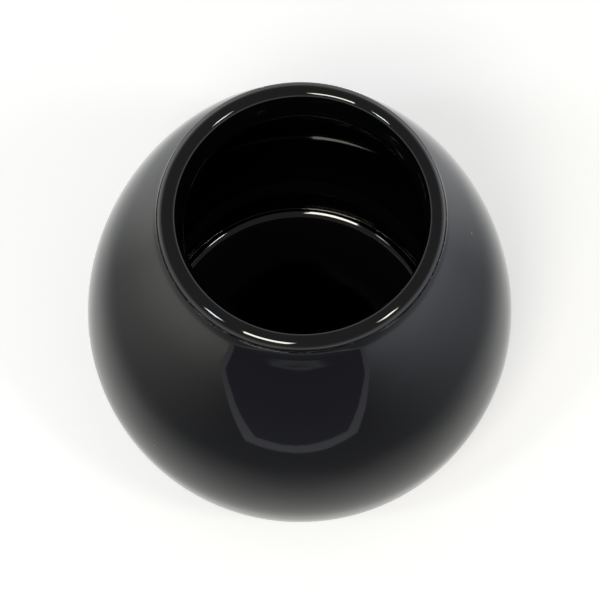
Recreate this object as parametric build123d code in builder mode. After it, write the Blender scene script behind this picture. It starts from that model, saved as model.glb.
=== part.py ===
from build123d import *
import os

# A globe-shaped mate gourd cup, slip-cast in one piece of ceramic and glazed.
# Millimetres, +Z up. The origin is the centre of the foot, on the surface that the cup stands on.

# Driving dimensions of the outside
belly_radius = 50.0      # widest radius of the body
belly_height = 31.0      # height of the widest level
total_height = 92.5      # top of the lip
shoulder_reach = 89.0    # height above the belly at which the shoulder's curve would close
shoulder_power = 1.5     # fullness of the shoulder, where 2 is an ellipse
foot_reach = 47.4        # depth below the belly at which the lower curve would close
foot_power = 2.19        # fullness of the lower body

# Lip and neck
throat_radius = 25.0     # narrowest radius of the mouth
mouth_radius = 26.3      # inner edge of the lip
lip_radius = 29.2        # outer edge of the lip
neck_radius = 30.3       # outside of the neck, where it meets the shoulder
inner_lip_rounding = 1.2
outer_lip_rounding = 1.5
throat_rounding = 3.0
neck_cove = 2.5          # hollow between the neck and the shoulder

# Inside
chamber_radius = 45.0    # widest radius inside
chamber_reach = 75.5     # height above the belly at which the inner shoulder would close
chamber_drop = 38.0      # depth below the belly at which the lower inner wall would close
chamber_power = 2.0      # fullness of the lower inner wall
floor_height = 6.1       # inside floor above the table
floor_rounding = 3.5     # hollow between the floor and the wall

# Foot
foot_rounding = 4.0
foot_ring_inner = 33.0   # inner edge of the flat standing ring
foot_recess = 1.2        # depth of the underside within the ring
recess_slope = 1.0       # width of the slanted side of the recess
recess_rounding = 0.6

# Spacing of the points that a formula's curve is drawn through
curve_steps = 14


# Radius at a height above the belly on a curve that bulges to widest and closes at reach.
def swell(widest, reach, power, rise):
    return widest * (1 - abs(rise / reach) ** power) ** (1 / power)


# Height above the belly at which that curve has narrowed to radius.
def rise_at(widest, reach, power, radius):
    return reach * (1 - (radius / widest) ** power) ** (1 / power)


# Points of one wall from its lowest level, through the belly, to its highest.
def wall_points(widest, drop, low_power, reach, high_power, lowest, highest):
    points = []
    for step in range(curve_steps):
        depth = lowest * (1 - step / curve_steps)
        points.append((swell(widest, drop, low_power, depth), belly_height + depth))
    for step in range(curve_steps + 1):
        rise = highest * step / curve_steps
        points.append((swell(widest, reach, high_power, rise), belly_height + rise))
    return points


# The circular edge of a turned part that passes closest to a radius and a height.
def ring_edge(part, radius, height):
    return part.edges().filter_by(GeomType.CIRCLE).sort_by_distance((0, radius, height))[0]


neck_rise = rise_at(belly_radius, shoulder_reach, shoulder_power, neck_radius)
throat_rise = rise_at(chamber_radius, chamber_reach, shoulder_power, throat_radius)
outer_wall = wall_points(
    belly_radius, foot_reach, foot_power, shoulder_reach, shoulder_power, -belly_height, neck_rise
)
inner_wall = wall_points(
    chamber_radius,
    chamber_drop,
    chamber_power,
    chamber_reach,
    shoulder_power,
    floor_height - belly_height,
    throat_rise,
)
foot_corner = outer_wall[0]
neck_corner = outer_wall[-1]
floor_corner = inner_wall[0]
throat_corner = inner_wall[-1]

with BuildPart() as gourd_cup:
    with BuildSketch(Plane.XZ):
        with BuildLine():
            Line((0, foot_recess), (foot_ring_inner - recess_slope, foot_recess))
            Line((foot_ring_inner - recess_slope, foot_recess), (foot_ring_inner, 0))
            Line((foot_ring_inner, 0), foot_corner)
            Spline(*outer_wall)
            Line(neck_corner, (lip_radius, total_height))
            Line((lip_radius, total_height), (mouth_radius, total_height))
            Line((mouth_radius, total_height), throat_corner)
            Spline(*inner_wall)
            Line(floor_corner, (0, floor_height))
            Line((0, floor_height), (0, foot_recess))
        make_face()
    revolve(axis=Axis.Z)

    # Rounded and hollowed edges, from the foot up the outside and down the inside
    fillet(ring_edge(gourd_cup, foot_ring_inner - recess_slope, foot_recess), recess_rounding)
    fillet(ring_edge(gourd_cup, *foot_corner), foot_rounding)
    fillet(ring_edge(gourd_cup, *neck_corner), neck_cove)
    fillet(ring_edge(gourd_cup, lip_radius, total_height), outer_lip_rounding)
    fillet(ring_edge(gourd_cup, mouth_radius, total_height), inner_lip_rounding)
    fillet(ring_edge(gourd_cup, *throat_corner), throat_rounding)
    fillet(ring_edge(gourd_cup, *floor_corner), floor_rounding)

gourd_cup.part.label = "gourd_cup"

os.makedirs("parts", exist_ok=True)
export_step(gourd_cup.part, "parts/gourd_cup.step")
print("volume", round(gourd_cup.part.volume / 1000, 1), "cm3, box", gourd_cup.part.bounding_box())
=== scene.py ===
import math
import bmesh
import bpy
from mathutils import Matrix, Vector, noise


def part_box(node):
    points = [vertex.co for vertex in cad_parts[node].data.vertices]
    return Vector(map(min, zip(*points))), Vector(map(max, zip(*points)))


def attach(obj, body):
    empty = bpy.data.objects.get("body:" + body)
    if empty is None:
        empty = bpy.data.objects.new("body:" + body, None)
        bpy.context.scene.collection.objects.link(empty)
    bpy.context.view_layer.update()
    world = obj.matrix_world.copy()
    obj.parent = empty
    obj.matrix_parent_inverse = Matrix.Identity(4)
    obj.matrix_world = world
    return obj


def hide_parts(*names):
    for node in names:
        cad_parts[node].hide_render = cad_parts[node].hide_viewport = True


# A globe-shaped mate gourd cup of black glazed ceramic, in metres.
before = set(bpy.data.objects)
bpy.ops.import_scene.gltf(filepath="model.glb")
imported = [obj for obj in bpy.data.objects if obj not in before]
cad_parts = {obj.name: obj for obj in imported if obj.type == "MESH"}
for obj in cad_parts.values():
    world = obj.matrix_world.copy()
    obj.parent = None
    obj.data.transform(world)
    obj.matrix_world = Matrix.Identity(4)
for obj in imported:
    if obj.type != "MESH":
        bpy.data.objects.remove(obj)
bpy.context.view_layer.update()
cupLow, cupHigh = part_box("gourd_cup")
mm = 0.001

cup = {
    "bellyRadius": (cupHigh.x - cupLow.x) / 2,
    "bellyHeight": 31.0 * mm,
    "totalHeight": cupHigh.z,
    "shoulderReach": 89.0 * mm,
    "shoulderPower": 1.5,
    "footReach": 47.4 * mm,
    "footPower": 2.19,
    "neckRadius": 30.3 * mm,
    "lipRadius": 29.7 * mm,
    "mouthRadius": 26.3 * mm,
    "throatRadius": 25.0 * mm,
    "chamberRadius": 45.0 * mm,
    "chamberReach": 75.5 * mm,
    "chamberDrop": 38.0 * mm,
    "chamberPower": 2.0,
    "floorHeight": 6.1 * mm,
    "footRingOuter": 37.0 * mm,
    "footRingInner": 33.0 * mm,
    "footRecess": 1.2 * mm,
    "recessSlope": 1.0 * mm,
    "lipBevel": 1.9 * mm,
    "mouthBevel": 1.2 * mm,
    "coveBevel": 1.3 * mm,
    "throatBevel": 2.0 * mm,
    "floorBevel": 1.9 * mm,
    "footBevel": 2.4 * mm,
    "recessBevel": 0.5 * mm,
    "curveSteps": 22,          # points along each formula curve
    "turnSteps": 144,          # faces round the cup
    "underSteps": 6,           # rings across the recess
    "floorSteps": 12,          # rings across the inside floor
    "wallLoops": (0.35, 0.6),  # extra rings on the neck and the throat, as shares of the way
    "lipSegments": 8,          # faces across the roundings of the lip and the neck
    "wallSegments": 6,         # and of the foot, the throat and the inside floor
    "recessSegments": 3,
    "mergeDistance": 0.002 * mm,
    "throatOffset": 0.9 * mm,  # the cast throat sits a little to the right of the axis
    "throatLevel": 0.92,       # its height, as a share of the whole
    "throatSpread": 0.10,      # and how far up and down the offset fades
    "throatFrom": 0.8,         # nothing below this share of the height moves with it
    "throatSkin": 0.8 * mm,    # how far past the mouth's edge it takes the lip along
    "mouthOffset": 0.3 * mm,
    "mouthFrom": 0.85,         # the share of the height where the mouth's offset begins
    "unevenness": 0.10 * mm,   # how far the fired body strays from true round
    "waviness": 28.0,          # waves of that in a metre
    "waveStretch": 0.6,        # under 1, the waves are longer up the wall than round it
    "inwardLean": 0.6,         # keeps the waves mostly within the true round
    "steadyFoot": 4,           # the foot strays less, over one part in this of the height
}


# Radius of a curve that bulges to widest and closes at reach, at a rise from its widest level.
def swell(widest, reach, power, rise):
    return widest * (1 - abs(rise / reach) ** power) ** (1 / power)


# Rise above the widest level at which that curve has narrowed to radius.
def riseAt(widest, reach, power, radius):
    return reach * (1 - (radius / widest) ** power) ** (1 / power)


# Points of one wall from its lowest level, through the belly, to its highest.
def wallPoints(widest, drop, lowPower, reach, highPower, lowest, highest):
    steps = cup["curveSteps"]
    level = cup["bellyHeight"]
    low = [lowest * (1 - i / steps) for i in range(steps)]
    high = [highest * i / steps for i in range(steps + 1)]
    points = [(swell(widest, drop, lowPower, z), level + z) for z in low]
    points += [(swell(widest, reach, highPower, z), level + z) for z in high]
    return points


# Half of the cup's cross-section, from the middle of the underside to the middle of the inside floor,
# and its corners, each with the width and the faces of its rounding.
def cupOutline():
    neckRise = riseAt(cup["bellyRadius"], cup["shoulderReach"], cup["shoulderPower"], cup["neckRadius"])
    throatRise = riseAt(cup["chamberRadius"], cup["chamberReach"], cup["shoulderPower"], cup["throatRadius"])
    outer = wallPoints(cup["bellyRadius"], cup["footReach"], cup["footPower"], cup["shoulderReach"],
                       cup["shoulderPower"], -cup["bellyHeight"], neckRise)
    inner = wallPoints(cup["chamberRadius"], cup["chamberDrop"], cup["chamberPower"], cup["chamberReach"],
                       cup["shoulderPower"], cup["floorHeight"] - cup["bellyHeight"], throatRise)
    recessEdge = (cup["footRingInner"] - cup["recessSlope"], cup["footRecess"])
    lipEdge = (cup["lipRadius"], cup["totalHeight"])
    mouthEdge = (cup["mouthRadius"], cup["totalHeight"])
    corners = {
        "recess": (recessEdge, cup["recessBevel"], cup["recessSegments"]),
        "foot": (outer[0], cup["footBevel"], cup["wallSegments"]),
        "cove": (outer[-1], cup["coveBevel"], cup["lipSegments"]),
        "lip": (lipEdge, cup["lipBevel"], cup["lipSegments"]),
        "mouth": (mouthEdge, cup["mouthBevel"], cup["lipSegments"]),
        "throat": (inner[-1], cup["throatBevel"], cup["wallSegments"]),
        "floor": (inner[0], cup["floorBevel"], cup["wallSegments"]),
    }
    underSteps, floorSteps = cup["underSteps"], cup["floorSteps"]
    under = [(recessEdge[0] * i / underSteps, cup["footRecess"]) for i in range(1, underSteps + 1)]
    ring = [(cup["footRingInner"], 0), (cup["footRingOuter"], 0)]
    floor = [(inner[0][0] * (1 - i / floorSteps), cup["floorHeight"]) for i in range(1, floorSteps)]
    neck = [tuple(Vector(outer[-1]).lerp(Vector(lipEdge), t)) for t in cup["wallLoops"]]
    throat = [tuple(Vector(mouthEdge).lerp(Vector(inner[-1]), t)) for t in cup["wallLoops"]]
    outline = [(0, cup["footRecess"])] + under + ring + outer + neck + [lipEdge, mouthEdge] + throat
    outline += inner[::-1] + floor + [(0, cup["floorHeight"])]
    return outline, corners


# The edges of one ring, found by its radius and height.
def ringEdges(bm, radius, height):
    tolerance = 0.05 * mm
    found = []
    for edge in bm.edges:
        ends = [(math.hypot(v.co.x, v.co.y), v.co.z) for v in edge.verts]
        if all(abs(r - radius) < tolerance and abs(z - height) < tolerance for r, z in ends):
            found.append(edge)
    return found


# A cast and fired pot is never quite true: the throat sits off centre and the wall waves a little.
# The belly's radius is the limit, so the cup stays within its CAD box.
def settleCup(bm):
    limit = cup["bellyRadius"]
    for vert in bm.verts:
        radius = math.hypot(vert.co.x, vert.co.y)
        height = vert.co.z / cup["totalHeight"]
        if radius < cup["mergeDistance"]:
            continue
        depth = abs(height - cup["throatLevel"]) / cup["throatSpread"]
        inside = radius < cup["mouthRadius"] + cup["throatSkin"] and height > cup["throatFrom"]
        if inside:
            vert.co.x += cup["throatOffset"] * max(0.0, 1 - depth) ** 0.5
        elif height > cup["mouthFrom"]:
            vert.co.x += cup["mouthOffset"] * (height - cup["mouthFrom"]) / (1 - cup["mouthFrom"])
        spot = Vector((vert.co.x, vert.co.y, vert.co.z * cup["waveStretch"]))
        swing = noise.noise(spot * cup["waviness"]) - cup["inwardLean"]
        grow = 1 + cup["unevenness"] * swing * min(1, height * cup["steadyFoot"]) / radius
        vert.co.x *= grow
        vert.co.y *= grow
        reach = math.hypot(vert.co.x, vert.co.y)
        if reach > limit:
            vert.co.x *= limit / reach
            vert.co.y *= limit / reach


def makeCup():
    outline, corners = cupOutline()
    bm = bmesh.new()
    verts = [bm.verts.new((r, 0, z)) for r, z in outline]
    edges = [bm.edges.new(pair) for pair in zip(verts, verts[1:])]
    bmesh.ops.spin(bm, geom=verts + edges, cent=(0, 0, 0), axis=(0, 0, 1), angle=2 * math.pi,
                   steps=cup["turnSteps"], use_merge=True)
    bmesh.ops.remove_doubles(bm, verts=bm.verts, dist=cup["mergeDistance"])
    for (radius, height), width, segments in corners.values():
        bmesh.ops.bevel(bm, geom=ringEdges(bm, radius, height), offset=width, offset_type="OFFSET",
                        affect="EDGES", segments=segments, profile=0.5, material=-1)
    bmesh.ops.remove_doubles(bm, verts=bm.verts, dist=cup["mergeDistance"])
    bmesh.ops.recalc_face_normals(bm, faces=bm.faces)
    settleCup(bm)
    mesh = bpy.data.meshes.new("glazed_cup")
    bm.to_mesh(mesh)
    bm.free()
    for face in mesh.polygons:
        face.use_smooth = True
    piece = bpy.data.objects.new("glazed_cup", mesh)
    bpy.context.scene.collection.objects.link(piece)
    return piece


glaze = {
    "color": (0.0020, 0.0019, 0.0024, 1),
    "clay": (0.62, 0.55, 0.47, 1),
    "dust": (0.42, 0.41, 0.39, 1),
    "roughness": 0.045,
    "clayRoughness": 0.82,
    "ior": 1.52,
    "clayHeight": 0.9 * mm,    # the glaze stops this far above the table
    "edgeWander": 0.5 * mm,    # how unevenly the glaze stops
    "toneLift": 1.25,          # the palest glaze against the darkest
    "waveScale": 45.0,
    "grainScale": 900.0,
    "grain": 0.012,            # height of the orange peel against the slow waves
    "bumpStrength": 0.5,
    "bumpDistance": 0.35 * mm,
    "speckScale": 520.0,
    "speckShare": 0.006,       # share of the pattern's cells with a speck of dust
    "speckSize": 0.13,
    "speckRoughness": 0.5,
    "pitScale": 260.0,
    "pitShare": 0.004,
    "pitSize": 0.10,
    "pitDepth": 0.08,
}


def newGroup(name, inputs, outputs):
    group = bpy.data.node_groups.new(name, "ShaderNodeTree")
    for label, kind, value in inputs:
        socket = group.interface.new_socket(label, in_out="INPUT", socket_type=kind)
        if value is not None:
            socket.default_value = value
    for label, kind in outputs:
        group.interface.new_socket(label, in_out="OUTPUT", socket_type=kind)
    return group, group.nodes.new("NodeGroupInput"), group.nodes.new("NodeGroupOutput")


def mathNode(tree, operation, first, second=None, clamp=False):
    node = tree.nodes.new("ShaderNodeMath")
    node.operation = operation
    node.use_clamp = clamp
    for index, value in enumerate((first, second)):
        if value is None:
            continue
        if hasattr(value, "is_linked"):
            tree.links.new(value, node.inputs[index])
        else:
            node.inputs[index].default_value = value
    return node.outputs[0]


def mixColor(tree, factor, first, second):
    node = tree.nodes.new("ShaderNodeMix")
    node.data_type = "RGBA"
    tree.links.new(factor, node.inputs["Factor"])
    for index, value in ((6, first), (7, second)):
        if hasattr(value, "is_linked"):
            tree.links.new(value, node.inputs[index])
        else:
            node.inputs[index].default_value = value
    return node.outputs[2]


# Slow waves and a fine orange peel, as one height.
def glazeSkinGroup():
    group, entry, leave = newGroup(
        "glazeSkin",
        [("Vector", "NodeSocketVector", None), ("Wave Scale", "NodeSocketFloat", 45.0),
         ("Grain Scale", "NodeSocketFloat", 900.0), ("Grain", "NodeSocketFloat", 0.05)],
        [("Height", "NodeSocketFloat"), ("Tone", "NodeSocketFloat")])
    wave = group.nodes.new("ShaderNodeTexNoise")
    wave.inputs["Detail"].default_value = 1.0
    grain = group.nodes.new("ShaderNodeTexNoise")
    grain.inputs["Detail"].default_value = 2.0
    for node, scale in ((wave, "Wave Scale"), (grain, "Grain Scale")):
        group.links.new(entry.outputs["Vector"], node.inputs["Vector"])
        group.links.new(entry.outputs[scale], node.inputs["Scale"])
    fine = mathNode(group, "MULTIPLY", grain.outputs["Fac"], entry.outputs["Grain"])
    group.links.new(mathNode(group, "ADD", wave.outputs["Fac"], fine), leave.inputs["Height"])
    group.links.new(wave.outputs["Fac"], leave.inputs["Tone"])
    return group


# Round specks scattered over a surface: a share of the cells of a Voronoi pattern, each with a dot.
def speckGroup():
    group, entry, leave = newGroup(
        "specks",
        [("Vector", "NodeSocketVector", None), ("Scale", "NodeSocketFloat", 500.0),
         ("Share", "NodeSocketFloat", 0.01), ("Size", "NodeSocketFloat", 0.2)],
        [("Mask", "NodeSocketFloat")])
    cells = group.nodes.new("ShaderNodeTexVoronoi")
    group.links.new(entry.outputs["Vector"], cells.inputs["Vector"])
    group.links.new(entry.outputs["Scale"], cells.inputs["Scale"])
    split = group.nodes.new("ShaderNodeSeparateColor")
    group.links.new(cells.outputs["Color"], split.inputs["Color"])
    chosen = mathNode(group, "LESS_THAN", split.outputs[0], entry.outputs["Share"])
    near = mathNode(group, "LESS_THAN", cells.outputs["Distance"], entry.outputs["Size"])
    group.links.new(mathNode(group, "MULTIPLY", chosen, near), leave.inputs["Mask"])
    return group


def placeGroup(tree, group, vector, values):
    node = tree.nodes.new("ShaderNodeGroup")
    node.node_tree = group
    tree.links.new(vector, node.inputs["Vector"])
    for label, value in values.items():
        node.inputs[label].default_value = value
    return node


def glazeMaterial():
    material = bpy.data.materials.new("blackGlaze")
    material.use_nodes = True
    tree = material.node_tree
    shader = tree.nodes["Principled BSDF"]
    shader.inputs["IOR"].default_value = glaze["ior"]
    place = tree.nodes.new("ShaderNodeTexCoord")
    vector = place.outputs["Object"]
    split = tree.nodes.new("ShaderNodeSeparateXYZ")
    tree.links.new(vector, split.inputs["Vector"])
    skin = placeGroup(tree, glazeSkinGroup(), vector,
                      {"Wave Scale": glaze["waveScale"], "Grain Scale": glaze["grainScale"],
                       "Grain": glaze["grain"]})
    specks = speckGroup()
    dust = placeGroup(tree, specks, vector, {"Scale": glaze["speckScale"], "Share": glaze["speckShare"],
                                             "Size": glaze["speckSize"]})
    pits = placeGroup(tree, specks, vector, {"Scale": glaze["pitScale"], "Share": glaze["pitShare"],
                                             "Size": glaze["pitSize"]})
    edge = mathNode(tree, "MULTIPLY", skin.outputs["Tone"], glaze["edgeWander"])
    line = mathNode(tree, "ADD", edge, glaze["clayHeight"] - glaze["edgeWander"] / 2)
    bare = mathNode(tree, "LESS_THAN", split.outputs["Z"], line)
    tone = mixColor(tree, skin.outputs["Tone"], glaze["color"],
                    tuple(c * glaze["toneLift"] for c in glaze["color"][:3]) + (1,))
    dusty = mixColor(tree, dust.outputs["Mask"], tone, glaze["dust"])
    tree.links.new(mixColor(tree, bare, dusty, glaze["clay"]), shader.inputs["Base Color"])
    rough = mathNode(tree, "MULTIPLY", bare, glaze["clayRoughness"])
    marks = mathNode(tree, "MULTIPLY", dust.outputs["Mask"], glaze["speckRoughness"])
    base = mathNode(tree, "ADD", rough, glaze["roughness"])
    tree.links.new(mathNode(tree, "ADD", base, marks, clamp=True), shader.inputs["Roughness"])
    sunk = mathNode(tree, "MULTIPLY", pits.outputs["Mask"], -glaze["pitDepth"])
    bump = tree.nodes.new("ShaderNodeBump")
    bump.inputs["Strength"].default_value = glaze["bumpStrength"]
    bump.inputs["Distance"].default_value = glaze["bumpDistance"]
    tree.links.new(mathNode(tree, "ADD", skin.outputs["Height"], sunk), bump.inputs["Height"])
    tree.links.new(bump.outputs["Normal"], shader.inputs["Normal"])
    return material


studio = {
    "floorColor": (0.97, 0.97, 0.97, 1),
    "floorRoughness": 0.9,
    "floorSize": 4.0,
    "floorLift": 0.42,         # how much whiter than lit the camera sees the floor
    "lampDistance": 0.8,
    "lampTarget": 0.7,         # the lamps face this share of the cup's height
    "lampFace": 24.0,          # brightness of a lamp's face in the glaze
    "zenithLevel": 0.27,
    "horizonLevel": 1.25,
    "horizonReach": 0.55,      # sine of the height at which the bright walls end
    # brightness of the floor in the glaze, and the distances from the cup's axis where it changes
    "leftGlow": (0.98, 0.96, 0.88),
    "rightGlow": (0.90, 0.96, 1.06),
    "middleGlow": (0.145, 0.15, 0.16),
    "glowFrom": 0.055,
    "glowTo": 0.30,
    "footGlow": (0.70, 0.70, 0.66),
    "footGlowFrom": 0.110,
    "footGlowTo": 0.052,
    "backGlow": 0.42,
    "backGlowFrom": 0.015,
    "backGlowTo": 0.085,
    # a dark card and its paler hem, seen only in the glaze: a painted dark reflection on the cup's front
    "reflectionHemLevel": (0.46, 0.47, 0.50),
    "reflectionHemWidth": 0.12,          # share by which the paler hem of the painted reflection stands out past the dark card
    "reflectionHemHeight": 1.0 * mm,
    "darkReflectionLevel": (0.15, 0.155, 0.20),
    "darkReflectionHeight": 2.0 * mm,
    "darkReflectionCenter": (0.0, -0.20),
    "darkReflectionCorners": [
        (-0.040, -0.128), (0.046, -0.135), (0.120, -0.205),
        (0.20, -0.33), (-0.24, -0.35), (-0.145, -0.200),
    ],
    "cameraDistance": 0.450,
    "cameraElevation": 71.0,
    "lens": 114.4,
    "shiftY": 0.0138,
    "nearestSeen": 0.01,
}


def stageObject(name, bm):
    mesh = bpy.data.meshes.new(name)
    bm.to_mesh(mesh)
    bm.free()
    item = bpy.data.objects.new(name, mesh)
    bpy.context.scene.collection.objects.link(item)
    return item


# Rises smoothly from 0 at start to 1 at end.
def fade(tree, value, start, end):
    spread = tree.nodes.new("ShaderNodeMapRange")
    spread.interpolation_type = "SMOOTHSTEP"
    spread.inputs["From Min"].default_value = start
    spread.inputs["From Max"].default_value = end
    tree.links.new(value, spread.inputs["Value"])
    return spread.outputs["Result"]


# The surface gives this light to glossy rays, and to the rest what its Principled shader gives.
def showInGlaze(tree, emission):
    path = tree.nodes.new("ShaderNodeLightPath")
    mix = tree.nodes.new("ShaderNodeMixShader")
    tree.links.new(path.outputs["Is Glossy Ray"], mix.inputs["Fac"])
    tree.links.new(tree.nodes["Principled BSDF"].outputs["BSDF"], mix.inputs[1])
    tree.links.new(emission.outputs["Emission"], mix.inputs[2])
    tree.links.new(mix.outputs["Shader"], tree.nodes["Material Output"].inputs["Surface"])


# Makes a card that glossy rays meet as a light, and that the camera and the table don't meet.
def onlyInGlaze(card, level):
    material = bpy.data.materials.new(card.name)
    material.use_nodes = True
    emission = material.node_tree.nodes.new("ShaderNodeEmission")
    emission.inputs["Color"].default_value = tuple(level) + (1,)
    showInGlaze(material.node_tree, emission)
    card.data.materials.append(material)
    card.visible_camera = False
    card.visible_diffuse = False
    card.visible_shadow = False


def makeFloor():
    bm = bmesh.new()
    bmesh.ops.create_grid(bm, x_segments=1, y_segments=1, size=studio["floorSize"] / 2)
    floor = stageObject("studioFloor", bm)
    material = bpy.data.materials.new("paleFloor")
    material.use_nodes = True
    tree = material.node_tree
    shader = tree.nodes["Principled BSDF"]
    shader.inputs["Base Color"].default_value = studio["floorColor"]
    shader.inputs["Roughness"].default_value = studio["floorRoughness"]
    shader.inputs["Specular IOR Level"].default_value = 0.0
    # in the glaze the floor is brighter at both sides, behind the cup and close round its foot
    place = tree.nodes.new("ShaderNodeTexCoord")
    split = tree.nodes.new("ShaderNodeSeparateXYZ")
    tree.links.new(place.outputs["Object"], split.inputs["Vector"])
    across = split.outputs["X"]
    left = fade(tree, mathNode(tree, "MULTIPLY", across, -1), studio["glowFrom"], studio["glowTo"])
    right = fade(tree, across, studio["glowFrom"], studio["glowTo"])
    back = fade(tree, split.outputs["Y"], studio["backGlowFrom"], studio["backGlowTo"])
    behind = mathNode(tree, "MULTIPLY", back, studio["backGlow"])
    length = tree.nodes.new("ShaderNodeVectorMath")
    length.operation = "LENGTH"
    tree.links.new(place.outputs["Object"], length.inputs[0])
    foot = fade(tree, length.outputs["Value"], studio["footGlowFrom"], studio["footGlowTo"])
    glow = tree.nodes.new("ShaderNodeCombineXYZ")
    for index in range(3):
        warm = mathNode(tree, "MULTIPLY", left, studio["leftGlow"][index])
        cool = mathNode(tree, "MULTIPLY", right, studio["rightGlow"][index])
        under = mathNode(tree, "MULTIPLY", foot, studio["footGlow"][index])
        both = mathNode(tree, "ADD", mathNode(tree, "ADD", warm, cool), under)
        whole = mathNode(tree, "ADD", both, behind)
        tree.links.new(mathNode(tree, "ADD", whole, studio["middleGlow"][index]), glow.inputs[index])
    emission = tree.nodes.new("ShaderNodeEmission")
    tree.links.new(glow.outputs["Vector"], emission.inputs["Color"])
    showInGlaze(tree, emission)
    # the camera sees the floor a little whiter than it is lit, and still sees the shadow
    shader.inputs["Emission Color"].default_value = (1, 1, 1, 1)
    path = tree.nodes.new("ShaderNodeLightPath")
    tree.links.new(mathNode(tree, "MULTIPLY", path.outputs["Is Camera Ray"], studio["floorLift"]),
                   shader.inputs["Emission Strength"])
    floor.data.materials.append(material)
    return floor


# A dark card lies in front of the cup, with a paler hem, and only the glaze shows it: a painted dark
# reflection on the cup, edged by a painted paler reflection.
def makePaintedReflection():
    center = Vector(studio["darkReflectionCenter"] + (0,))
    cards = (
        ("paintedReflectionHem", studio["reflectionHemWidth"], studio["reflectionHemHeight"], studio["reflectionHemLevel"]),
        ("paintedDarkReflection", 0.0, studio["darkReflectionHeight"], studio["darkReflectionLevel"]),
    )
    for name, grow, height, level in cards:
        bm = bmesh.new()
        verts = []
        for x, y in studio["darkReflectionCorners"]:
            away = Vector((x, y, 0)) - center
            verts.append(bm.verts.new(Vector((x, y, height)) + away * grow))
        bm.faces.new(verts)
        card = stageObject(name, bm)
        onlyInGlaze(card, level)


# White walls stand round the table, and the way up is dimmer.
def makeWorld():
    world = bpy.data.worlds.new("plainRoom")
    bpy.context.scene.world = world
    world.use_nodes = True
    tree = world.node_tree
    background = tree.nodes["Background"]
    background.inputs["Color"].default_value = (1, 1, 1, 1)
    place = tree.nodes.new("ShaderNodeTexCoord")
    split = tree.nodes.new("ShaderNodeSeparateXYZ")
    tree.links.new(place.outputs["Generated"], split.inputs["Vector"])
    up = fade(tree, split.outputs["Z"], 0.0, studio["horizonReach"])
    drop = mathNode(tree, "MULTIPLY", up, studio["zenithLevel"] - studio["horizonLevel"])
    tree.links.new(mathNode(tree, "ADD", drop, studio["horizonLevel"]), background.inputs["Strength"])


lamps = [
    {"name": "frontLamp", "toward": (-0.21, -0.49, 0.85), "size": (0.25, 0.20),
     "power": 1.6, "tint": (1, 0.97, 0.86)},
    {"name": "rightLamp", "toward": (0.52, -0.30, 0.80), "size": (0.10, 0.16),
     "power": 0.7, "tint": (1, 0.98, 0.90)},
    {"name": "leftLamp", "toward": (-0.52, -0.30, 0.80), "size": (0.09, 0.14),
     "power": 0.6, "tint": (0.84, 0.95, 1)},
]


# Each lamp lights the table softly, and has a bright face that only the glaze shows.
def makeLamps():
    target = Vector((0, 0, cup["totalHeight"] * studio["lampTarget"]))
    for lamp in lamps:
        width, depth = lamp["size"]
        data = bpy.data.lights.new(lamp["name"], "AREA")
        data.shape = "RECTANGLE"
        data.size, data.size_y = width, depth
        data.energy = lamp["power"]
        data.color = lamp["tint"]
        light = bpy.data.objects.new(lamp["name"], data)
        place = target + Vector(lamp["toward"]).normalized() * studio["lampDistance"]
        turn = (target - place).to_track_quat("-Z", "Y")
        light.location = place
        light.rotation_euler = turn.to_euler()
        light.visible_glossy = False
        bpy.context.scene.collection.objects.link(light)
        bm = bmesh.new()
        bmesh.ops.create_grid(bm, x_segments=1, y_segments=1, size=0.5)
        bmesh.ops.scale(bm, verts=bm.verts, vec=(width, depth, 1))
        bmesh.ops.rotate(bm, verts=bm.verts, cent=(0, 0, 0), matrix=turn.to_matrix())
        bmesh.ops.translate(bm, verts=bm.verts, vec=place)
        level = [studio["lampFace"] * c for c in lamp["tint"]]
        onlyInGlaze(stageObject(lamp["name"] + "Face", bm), level)


def makeCamera():
    data = bpy.data.cameras.new("camera")
    data.lens = studio["lens"]
    data.shift_y = studio["shiftY"]
    data.clip_start = studio["nearestSeen"]
    camera = bpy.data.objects.new("camera", data)
    rise = math.radians(studio["cameraElevation"])
    belly = Vector((0, 0, cup["bellyHeight"]))
    camera.location = belly + Vector((0, -math.cos(rise), math.sin(rise))) * studio["cameraDistance"]
    camera.rotation_euler = (belly - camera.location).to_track_quat("-Z", "Y").to_euler()
    bpy.context.scene.collection.objects.link(camera)
    bpy.context.scene.camera = camera


print("cup")
piece = makeCup()
print("glaze")
piece.data.materials.append(glazeMaterial())
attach(piece, "root")
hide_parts("gourd_cup")
print("studio")
makeFloor()
makePaintedReflection()
makeWorld()
makeLamps()
makeCamera()
bpy.context.scene.view_settings.view_transform = "Standard"
